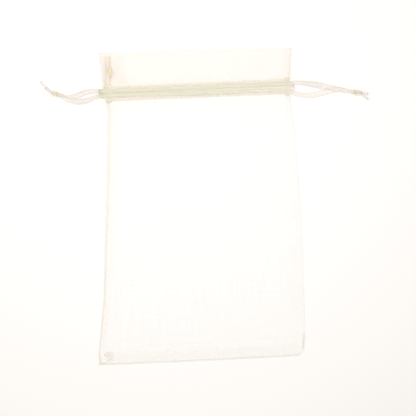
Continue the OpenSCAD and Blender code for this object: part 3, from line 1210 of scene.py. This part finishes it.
def bottom_overlock(material):
    """Loops of fine thread over the raw edges of the bottom seam."""
    x = np.arange(-46, 45.5, LOOP_STEP)
    y = bottom_y(x) + 1.4 + 4.6 * swing(x, 2.6)
    z = back_body_z(x, y) + 0.72
    piece = thread_line("bottom_seam_overlock", x, y, z, LOOP_R, material, "bottom_seam_stitching", 5)
    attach(piece, "pouch")


STRANDS = ((3.2, 0.15), (5.2, 0.18))
STRAND_SLANT = 1.6
TEAR_X = -38.9
TEAR_LOW = 63.7
TEAR_LENGTH = 5.4
TEAR_LEAN = -0.6
TEAR_R = 1.15
WRAPS = 6


def tear_width(share):
    """Half-width of the thread knot's teardrop at a share of its length from the bottom."""
    return TEAR_R * np.sin(np.clip(share * 1.05, 0, 1) * math.pi) ** 0.7 * (1 - 0.6 * share) + 0.1


def loose_thread_end(material):
    """The side seam's thread above the casing, wound up into a small teardrop knot."""
    store = ([], [])
    y = np.arange(59.4, 74.4, 0.7)
    slant = STRAND_SLANT * (y[-1] - y) / (y[-1] - y[0])
    for inset, radius in STRANDS:
        x = edge_x("left", y) + inset - slant + 0.1 * np.sin(1.7 * y)
        add_tube(store, np.column_stack([x, y, header_level(x, y) + 0.5]), radius, 6)

    z = level_at(header_level, TEAR_X, TEAR_LOW + 2) + 1.3
    t = np.linspace(0, 1, 24)
    core = np.column_stack([TEAR_X + TEAR_LEAN * t, TEAR_LOW + TEAR_LENGTH * t, np.full(len(t), z)])
    widths = 0.9 * tear_width(t)
    add_tube(store, core, lambda i, count: widths[i], 14)

    t = np.linspace(0, 1, 40)
    r = tear_width(t)
    for turn in np.linspace(0, 2 * math.pi, WRAPS, endpoint=False):
        angle = turn + 7 * t
        x = TEAR_X + TEAR_LEAN * t + r * np.cos(angle)
        wrap = np.column_stack([x, TEAR_LOW + TEAR_LENGTH * t, z + r * np.sin(angle)])
        add_tube(store, wrap, 0.11, 5)

    t = np.linspace(0, 1, 14)
    tail = np.column_stack([
        TEAR_X + TEAR_LEAN - 0.2 * t, TEAR_LOW + TEAR_LENGTH - 0.4 + 4.8 * t,
        z - 0.5 * t + 0.15 * np.sin(5 * t)
    ])
    add_tube(store, tail, lambda i, count: 0.2 - 0.06 * i / count, 8)
    piece = thread_piece(store, "seam_thread_knot", material, "seam_end_thread")
    neck_blend(piece, "left")


# ---- Materials ----

CASED_RIBBON = [(0.56, 0.565, 0.39), (0.67, 0.675, 0.53)]
# The loose ribbon's colours carry painted shadow for the shadow that the ribbon, casting none, would
# throw beneath it.
LOOSE_RIBBON_PAINTED_SHADOW = [(0.6, 0.54, 0.42), (0.74, 0.69, 0.65)]
KNOTTED_RIBBON = [(0.84, 0.77, 0.58), (0.97, 0.93, 0.79)]
CUT_RIBBON = [(0.72, 0.66, 0.58), (0.86, 0.82, 0.78)]

body_cloth = organza("sheer_organza", (0.97, 0.97, 0.955), (0.985, 0.985, 0.98), 0.02, 0.12, 0.1)
# The neck and header are the body's organza painted much darker: painted shade for the shadows that
# their stacked layers, casting none, no longer throw.
hem_cloth_painted_shade = organza("folded_organza_painted_shade", (0.75, 0.685, 0.63), (0.83, 0.77, 0.72), 0.03, 0.13, 0.06)
inner_cloth = organza("allowance_organza", (0.93, 0.89, 0.83), (0.97, 0.94, 0.9), 0.01, 0.035, 0.06)
# The header's seam allowance is the same organza painted darker: painted shade for the layers over it,
# which cast no shadow.
header_cloth_painted_shade = organza("header_organza_painted_shade", (0.74, 0.67, 0.57), (0.81, 0.74, 0.64), 0.03, 0.11, 0.05)
thread_gold = sewing_thread("gold_thread", (0.68, 0.61, 0.38), (0.9, 0.84, 0.64))
thread_knot = sewing_thread("knotted_thread", (0.7, 0.58, 0.33), (0.91, 0.83, 0.58))
thread_tack = sewing_thread("tack_thread", (0.72, 0.66, 0.43), (0.89, 0.85, 0.66))
thread_corner = sewing_thread("corner_thread", (0.72, 0.57, 0.45), (0.87, 0.76, 0.64))
thread_pale = sewing_thread("pale_thread", (0.82, 0.77, 0.56), (0.95, 0.92, 0.76))
ribbon_look = organza_ribbon("ribbon", CASED_RIBBON, LOOSE_RIBBON_PAINTED_SHADOW, 0.5, 0.78)
knot_look = organza_ribbon("knotted_ribbon", KNOTTED_RIBBON, KNOTTED_RIBBON, 0.66, 0.8)
tail_look = organza_ribbon("ribbon_end", CUT_RIBBON, CUT_RIBBON, 0.45, 0.75)

# ---- Building ----

make_camera()
make_floor()
make_light()
set_picture()

for side, route in (("left", LEFT_ROUTE), ("right", RIGHT_ROUTE)):
    ribbon, path = make_ribbon(side, route, ribbon_look)
    knot = make_knot(side, knot_look)
    tails = make_tails(side, tail_look)

for side in ("left", "right"):
    body_sheet("front", side, front_body_z, body_cloth)
    body_sheet("back", side, back_body_z, body_cloth)
    upper_sheet("front", side, front_outer_z, front_hem_z, hem_cloth_painted_shade)
    upper_sheet("back", side, back_outer_z, back_hem_z, hem_cloth_painted_shade)

neck_wall("left", "left_neck_seam", body_cloth)
neck_wall("right", "right_neck_fold", body_cloth)
seam_band(
    "side_allowance", "left", -HALF_H + 8, 50, 1.2, 4.2, allowance_level, inner_cloth,
    ["side_seam_allowance"], body_blend, 0.5
)
seam_band(
    "header_allowance", "left", 60, 73.5, 0.8, 11.2, header_level, header_cloth_painted_shade,
    ["left_neck_seam"], neck_blend
)

for face, height_at in (("front", front_outer_z), ("back", back_hem_z)):
    for row, y, radius in (("lower", LOWER_ROW, LOWER_STITCH_R), ("upper", UPPER_ROW, UPPER_STITCH_R)):
        casing_stitches(f"{face}_{row}", y, height_at, radius, thread_pale)
mouth_tacks("left", thread_tack)
mouth_tacks("right", thread_tack)

bottom_band(inner_cloth)
corner_tuck(inner_cloth)
corner_thread(thread_corner)
side_needle_line(thread_gold)
side_overlock(thread_pale)
bottom_needle_line(thread_gold)
right_corner_thread(thread_gold)
bottom_overlock(thread_pale)
loose_thread_end(thread_knot)
